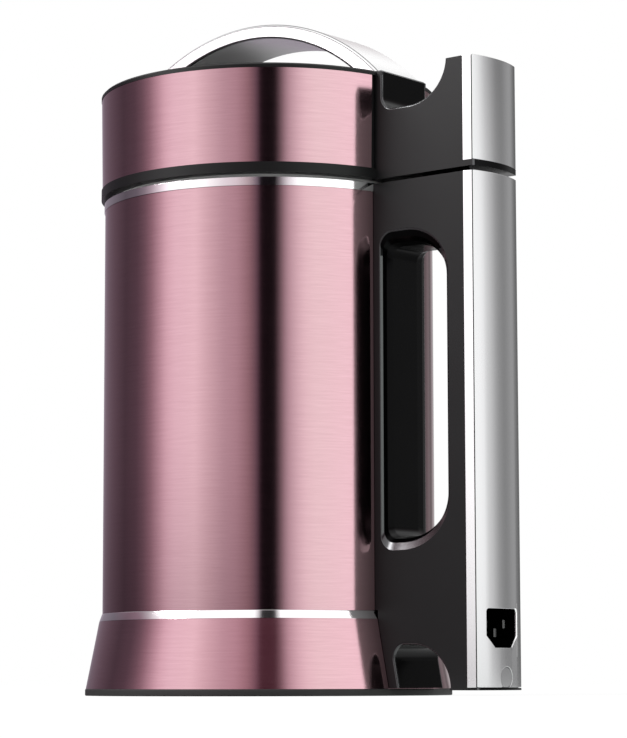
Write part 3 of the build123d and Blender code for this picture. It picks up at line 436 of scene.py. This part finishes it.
def plainFinish(look):
    value = {**everyLook, **look}

    def paint(start):
        speck = noise(start, value["speck"])
        cloud = noise(start, value["cloud"])
        lightness = speck * value["speckShare"] + cloud * value["cloudShare"]
        return {
            "Base Color": mixColours(lightness, value["deep"], value["light"]),
            "Roughness": value["roughness"] + cloud * value["cloudRoughness"],
            "Normal": bump(speck, value["bump"], value["depth"]),
        }

    return makeMaterial(value["name"], paint, {"Metallic": value["metallic"]})


finishes = {
    "pink_steel": makeMaterial("roseBrushedSteel", paintRose, {"Metallic": 1.0}),
    "satin_silver": makeMaterial("satinSilver", paintSatin, {"Metallic": 1.0}),
    "black_plastic": makeMaterial("blackMoulding", paintBlack, {"Specular IOR Level": 0.27}),
    "archSilver": makeMaterial("archSilver", paintArch, {}),
}
for slot, look in looks.items():
    finishes[slot] = plainFinish(look)

slotOfNode = {}
for part in frame["record"]["subparts"]:
    slotOfNode[part["node"]] = part["material_slot"]
bodyOfNode = {}
for body, members in frame["record"]["behaviour"]["bodies"].items():
    for member in members:
        bodyOfNode[member] = body


def finishOf(name):
    return finishes[ownFinish.get(name, slotOfNode[name])]


for name, node in frame["nodes"].items():
    if node.material_slots:
        for place in node.material_slots:
            place.material = finishOf(name)
    else:
        node.data.materials.append(finishOf(name))
print("finishes given")


# What every new piece needs: its mesh, its finish, its body and the node it stands for

meshing = {
    "sharp": math.radians(38),
    "rolledFrom": math.radians(30),
    "flat": math.radians(0.5),
    "weld": 0.000002,
    "segments": 2,
    "evenWeight": 100,
}


def addPiece(work, name, node, standsFor=True):
    mesh = bpy.data.meshes.new(name)
    bmesh.ops.recalc_face_normals(work, faces=work.faces)
    work.to_mesh(mesh)
    work.free()
    mesh.polygons.foreach_set("use_smooth", [True] * len(mesh.polygons))
    mesh.set_sharp_from_angle(angle=meshing["sharp"])
    mesh.materials.append(finishOf(node))
    piece = bpy.data.objects.new(name, mesh)
    bpy.context.scene.collection.objects.link(piece)
    evened = piece.modifiers.new("evenNormals", "WEIGHTED_NORMAL")
    evened.weight = meshing["evenWeight"]
    evened.keep_sharp = True
    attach(piece, bodyOfNode[node])
    if standsFor:
        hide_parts(node)


def sharpEdges(work):
    return [
        edge for edge in work.edges
        if edge.is_manifold and edge.calc_face_angle() > meshing["rolledFrom"]
    ]


def rollEdges(work, edges, width, segments):
    bmesh.ops.bevel(
        work, geom=edges, offset=width, offset_type="OFFSET", segments=segments, profile=0.5,
        affect="EDGES", clamp_overlap=False, material=-1,
    )


# The lower ring's face leans inward above, so that it catches the light from higher up

ringLean = {"outside": 0.0808, "above": 0.037, "inward": 0.00125}


def leanRing(work):
    for vert in work.verts:
        radius = math.hypot(vert.co.x, vert.co.y)
        if radius > ringLean["outside"] and vert.co.z > ringLean["above"]:
            share = 1 - ringLean["inward"] / radius
            vert.co.x *= share
            vert.co.y *= share


# The edge of the inlet's hole in the column's face is broken more on its right side. That stretch is
# measured from the front of the face, and from the right side, the bottom and the top of the inlet

hole = {
    "back": 0.002, "from": 0.0077, "to": 0.0014, "above": 0.0021, "below": 0.0024,
    "width": 0.0009, "segments": 4,
}


def breakHole(work):
    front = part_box("handle_face")[1].x
    low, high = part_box("inlet_housing")

    def onRight(vert):
        across = high.y - hole["from"] < vert.co.y < high.y - hole["to"]
        upright = low.z + hole["above"] < vert.co.z < high.z - hole["below"]
        return vert.co.x > front - hole["back"] and across and upright

    edges = []
    for edge in sharpEdges(work):
        level = abs(edge.verts[0].co.z - edge.verts[1].co.z) < meshing["weld"]
        if not level and onRight(edge.verts[0]) and onRight(edge.verts[1]):
            edges.append(edge)
    rollEdges(work, edges, hole["width"], hole["segments"])


# Pieces whose edges are rolled or broken on the real thing, and by how many metres

rolled = {
    "handle_face": 0.00025, "head_face": 0.00025, "upper_ring": 0.00015, "lower_ring": 0.0002,
    "foot_ring": 0.0005, "screw_plug": 0.0003, "inlet_pins": 0.0003, "control_panel": 0.0003,
}
shapedFirst = {"lower_ring": leanRing, "handle_face": breakHole}


def addRolledCopy(node, width):
    work = bmesh.new()
    work.from_mesh(frame["nodes"][node].data)
    bmesh.ops.remove_doubles(work, verts=work.verts, dist=meshing["weld"])
    bmesh.ops.dissolve_limit(work, angle_limit=meshing["flat"], verts=work.verts, edges=work.edges)
    if node in shapedFirst:
        shapedFirst[node](work)
    rollEdges(work, sharpEdges(work), width, meshing["segments"])
    low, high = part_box(node)
    for vert in work.verts:  # a bevel can end a hair outside the node's box
        for axis in range(3):
            vert.co[axis] = min(max(vert.co[axis], low[axis]), high[axis])
    addPiece(work, node + "_rolled", node)


for node, width in rolled.items():
    addRolledCopy(node, width)
print("edges rolled")


# Bright strips down both sides of the column: their outer face leans a little towards the front

strip = {"lean": 0.0005, "edge": 0.00015, "thickness": 0.001}


def addStrips(node):
    low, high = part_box(node)
    work = bmesh.new()
    for side in (-1, 1):
        for vert in bmesh.ops.create_cube(work, size=1.0)["verts"]:
            atFront = vert.co.x > 0
            outside = vert.co.y * side > 0
            inward = strip["thickness"]
            if outside:
                inward = strip["lean"] if atFront else 0.0
            vert.co.x = high.x if atFront else low.x
            vert.co.y = side * (high.y - inward)
            vert.co.z = high.z if vert.co.z > 0 else low.z
    rollEdges(work, sharpEdges(work), strip["edge"], meshing["segments"])
    addPiece(work, node + "_leaning", node)


addStrips("handle_strips")
addStrips("head_strips")
print("strips made")


# Signs on the panel: a thin ring round each button, and one to four dots in front of it

signs = {
    "buttons": ("start_button", "time_button", "temperature_button", "clean_button"),
    "gap": 0.0012,
    "line": 0.0005,
    "height": 0.00008,
    "ringSides": 72,
    "dot": 0.00055,
    "dotSides": 20,
    "dotPitch": 0.0022,
    "dotsPast": 0.0045,
}


def vertsOf(parts):
    return [part for part in parts if isinstance(part, bmesh.types.BMVert)]


def drawRing(work, centre, radius):
    ring = bmesh.ops.create_circle(work, cap_ends=False, segments=signs["ringSides"], radius=radius)["verts"]
    bmesh.ops.translate(work, verts=ring, vec=centre)
    edges = list(dict.fromkeys(edge for vert in ring for edge in vert.link_edges))
    widened = vertsOf(bmesh.ops.extrude_edge_only(work, edges=edges)["geom"])
    share = (radius + signs["line"]) / radius
    around = Matrix.Translation(centre)
    bmesh.ops.scale(work, vec=(share, share, 1.0), space=around.inverted(), verts=widened)


def drawDot(work, centre):
    dot = bmesh.ops.create_circle(
        work, cap_ends=True, segments=signs["dotSides"], radius=signs["dot"]
    )["verts"]
    bmesh.ops.translate(work, verts=dot, vec=centre)


def addSigns():
    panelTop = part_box("control_panel")[1].z
    work = bmesh.new()
    for count, button in enumerate(signs["buttons"], 1):
        low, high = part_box(button)
        middle = (low + high) / 2
        drawRing(work, Vector((middle.x, middle.y, panelTop)), (high.x - low.x) / 2 + signs["gap"])
        for index in range(count):
            across = (index - (count - 1) / 2) * signs["dotPitch"]
            drawDot(work, Vector((middle.x + across, low.y - signs["dotsPast"], panelTop)))
    faces = list(work.faces)
    bmesh.ops.recalc_face_normals(work, faces=faces)
    tops = vertsOf(bmesh.ops.extrude_face_region(work, geom=faces)["geom"])
    bmesh.ops.translate(work, verts=tops, vec=(0.0, 0.0, signs["height"]))
    addPiece(work, "panel_signs", "led_lenses", standsFor=False)


addSigns()
print("panel signs made")


# Studio: a pale floor, a soft surround with a dark gap behind the camera, and one soft lamp.
# Heights in the surround are the upward share of a direction, from 0 at the floor to 1 overhead

studio = {
    "strength": 1.4,
    "surround": [  # degrees to the right of the camera, and how bright the surround is there
        (-180, 0.34), (-158, 0.17), (-118, 0.07), (-104, 0.095), (-96, 0.16),
        (-89, 0.29), (-81, 0.56), (-75, 0.80), (-68, 0.91), (-52, 0.96), (-42, 0.76), (-31, 0.57),
        (-22, 0.50), (-14, 0.33), (-8, 0.12), (-5.6, 0.004), (4.6, 0.003), (8, 0.17), (13, 0.53),
        (19, 0.78), (25, 0.94), (32, 0.99), (74, 1.10), (82, 0.76), (98, 0.32), (109, 0.225),
        (127, 0.36), (138, 0.09), (149, 0.20), (154, 0.10), (162, 0.34), (180, 0.34),
    ],
    "tint": [  # degrees, and the share of green and of blue in that light
        (-180, 0.88, 1.03), (-124, 0.84, 1.03), (-104, 0.80, 0.98), (-88, 0.77, 0.88),
        (-73, 0.93, 0.97), (-60, 1.03, 1.04), (-48, 0.99, 0.98), (-36, 0.92, 0.95),
        (-25, 0.87, 0.93), (-14, 0.77, 0.82), (-3, 0.73, 1.05), (8, 0.86, 0.93), (19, 0.99, 1.0),
        (30, 1.08, 1.03), (58, 1.08, 1.03), (74, 1.0, 1.005), (180, 1.0, 1.005),
    ],
    "ease": 0.1,
    "topLight": 0.85,  # the light above, and where it starts and is full
    "topFrom": 0.41,
    "topFull": 0.55,
    "gapTop": 0.78,  # the dark gap goes on up to here, and is gone from gapFull
    "gapFull": 0.98,
    "gapClear": 0.25,
    "glow": colour(0.95, 0.42, 0.56),  # a faint warm glow under the light above
    "glowFrom": 0.26,
    "glowShare": 0.09,
    "shadeFrom": 0.196,  # the right side is darker higher up
    "shadeFull": 0.25,
    "shadeSide": 0.88,
    "shadeMiddle": 0.96,
    "shadeShare": 0.57,
    "lowFull": 0.09,  # the left side is darker near the floor
    "lowSide": -0.35,
    "lowShade": 0.4,
}
ground = {
    "half": 6.0,
    "colour": grey(0.86),
    "white": 0.9,
    "glow": 1.02,
    "mirrored": 0.45,  # the floor's brightness in reflections, to the right and behind
    "mirroredAside": 0.25,
    "mirroredBehind": 0.6,
}
sideLamp = {  # a soft box that catches the upper part of the black column's side
    "right": -80.0, "rise": 34.0, "distance": 1.6, "width": 0.7, "height": 0.5, "watts": 15.0,
    "aim": (0.1, 0.0, 0.16),
}
view = {
    "azimuth": math.radians(49.82),
    "distance": 1.28298,
    "height": 0.007,
    "pitch": math.radians(6.70),
    "yaw": math.radians(0.97),
    "roll": math.radians(-0.11),
    "lens": 129.35,
    "sensor": 36.0,
    "clip": 0.05,
}


def tinted(degrees, value):
    tint = studio["tint"]
    for (before, green, blue), (after, nextGreen, nextBlue) in zip(tint, tint[1:]):
        if before <= degrees <= after:
            share = (degrees - before) / (after - before)
            green += (nextGreen - green) * share
            blue += (nextBlue - blue) * share
            return colour(value, value * green, value * blue)


def headings(x, y):
    facing = -view["azimuth"]
    ahead = x * math.cos(facing) + y * math.sin(facing)
    aside = y * math.cos(facing) - x * math.sin(facing)
    return ahead, aside


def roomAround(ahead, aside):
    turn = ahead.math("ARCTAN2", aside, ahead) / (2 * math.pi) + 0.5
    stops = [((degrees + 180) / 360, tinted(degrees, value)) for degrees, value in studio["surround"]]
    return turn.node("ShaderNodeValToRGB", {"stops": stops}, {"Fac": turn})


def between(value, low, high):
    span = value.math("MAXIMUM", (value - low) / (high - low), 0.0)
    return value.math("SMOOTH_MIN", span, 1.0, studio["ease"])


def addFloor():
    half = ground["half"]
    work = bmesh.new()
    bmesh.ops.create_grid(work, x_segments=1, y_segments=1, size=half)
    mesh = bpy.data.meshes.new("floor")
    work.to_mesh(mesh)
    work.free()
    floor = bpy.data.objects.new("floor", mesh)
    bpy.context.scene.collection.objects.link(floor)
    material = bpy.data.materials.new("paleFloor")
    material.use_nodes = True
    tree = material.node_tree
    tree.nodes.clear()
    start = Socket(tree)
    seen = start.node("ShaderNodeLightPath", {}, {}, "Is Camera Ray")
    mirrored = start.node("ShaderNodeLightPath", {}, {}, "Is Glossy Ray")
    card = start.node("ShaderNodeBsdfDiffuse", {}, {"Color": ground["colour"]})
    white = start.node("ShaderNodeEmission", {}, {"Color": grey(1.0), "Strength": ground["glow"]})
    x, y = axes(start, "Object")[:2]
    ahead, aside = headings(x, y)
    away = start.math("SQRT", x * x + y * y)
    behind = start.math("MINIMUM", ahead / away, 0.0)
    share = ground["mirrored"] + aside / away * ground["mirroredAside"]
    share = share + behind * behind * ground["mirroredBehind"]
    sockets = {"Color": roomAround(ahead, aside), "Strength": share * studio["strength"]}
    reflected = start.node("ShaderNodeEmission", {}, sockets)
    table = start.node("ShaderNodeMixShader", {}, {0: mirrored, 1: card, 2: reflected})
    mixed = start.node("ShaderNodeMixShader", {}, {0: seen * ground["white"], 1: table, 2: white})
    tree.links.new(mixed.link, tree.nodes.new("ShaderNodeOutputMaterial").inputs["Surface"])
    mesh.materials.append(material)


def lightWorld():
    world = bpy.data.worlds.new("studio")
    bpy.context.scene.world = world
    world.use_nodes = True
    tree = world.node_tree
    tree.nodes.clear()
    start = Socket(tree)
    x, y, z = axes(start, "Generated")
    ahead, aside = headings(x, y)
    around = roomAround(ahead, aside)
    brightness = start.node("ShaderNodeSeparateColor", {}, {"Color": around}, "Red")
    outsideGap = between(brightness, 0.0, studio["gapClear"])
    clear = start.math("MAXIMUM", outsideGap, between(z, studio["gapTop"], studio["gapFull"]))
    atRight = between(aside, studio["shadeSide"], studio["shadeMiddle"])
    shade = between(z, studio["shadeFrom"], studio["shadeFull"]) * atRight * studio["shadeShare"]
    atLeft = between(aside, 0.0, studio["lowSide"])
    shade = shade + (1.0 - between(z, 0.0, studio["lowFull"])) * atLeft * studio["lowShade"]
    around = mixColours(shade, around, grey(0.0))
    high = between(z, studio["topFrom"], studio["topFull"])
    warmth = (between(z, studio["glowFrom"], studio["topFrom"]) - high) * studio["glowShare"]
    warmed = mixColours(warmth, around, studio["glow"])
    light = mixColours(high * clear, warmed, grey(studio["topLight"]))
    seen = start.node("ShaderNodeLightPath", {}, {}, "Is Camera Ray")
    sockets = {
        "Color": mixColours(seen, light, grey(1.0)),
        "Strength": studio["strength"] - seen * (studio["strength"] - 1.0),
    }
    background = start.node("ShaderNodeBackground", {}, sockets)
    tree.links.new(background.link, tree.nodes.new("ShaderNodeOutputWorld").inputs["Surface"])


def addSideLamp():
    lamp = bpy.data.lights.new("sideLamp", "AREA")
    lamp.shape = "RECTANGLE"
    lamp.size = sideLamp["width"]
    lamp.size_y = sideLamp["height"]
    lamp.energy = sideLamp["watts"]
    turn = -view["azimuth"] + math.radians(sideLamp["right"])
    rise = math.radians(sideLamp["rise"])
    away = Vector((
        math.cos(turn) * math.cos(rise), math.sin(turn) * math.cos(rise), math.sin(rise)
    ))
    spot = bpy.data.objects.new("sideLamp", lamp)
    bpy.context.scene.collection.objects.link(spot)
    spot.location = Vector(sideLamp["aim"]) + away * sideLamp["distance"]
    spot.rotation_euler = away.to_track_quat("Z", "Y").to_euler()


def addCamera():
    lens = bpy.data.cameras.new("camera")
    lens.lens = view["lens"]
    lens.sensor_width = view["sensor"]
    lens.clip_start = view["clip"]
    camera = bpy.data.objects.new("camera", lens)
    bpy.context.scene.collection.objects.link(camera)
    turn = view["azimuth"]
    place = Vector((math.cos(turn), -math.sin(turn), 0)) * view["distance"]
    place.z = view["height"]
    heading = -turn + math.pi - view["yaw"]
    pitch = view["pitch"]
    ahead = Vector((
        math.cos(heading) * math.cos(pitch), math.sin(heading) * math.cos(pitch), math.sin(pitch)
    ))
    side = ahead.cross(Vector((0, 0, 1))).normalized()
    above = side.cross(ahead)
    roll = view["roll"]
    right = side * math.cos(roll) + above * math.sin(roll)
    up = above * math.cos(roll) - side * math.sin(roll)
    turned = Matrix((right, up, -ahead)).transposed().to_4x4()
    camera.matrix_world = Matrix.Translation(place) @ turned
    bpy.context.scene.camera = camera
    print("camera looks", tuple(round(v, 4) for v in ahead))


addFloor()
lightWorld()
addSideLamp()
addCamera()
bpy.context.scene.view_settings.view_transform = "Standard"
print("studio set")
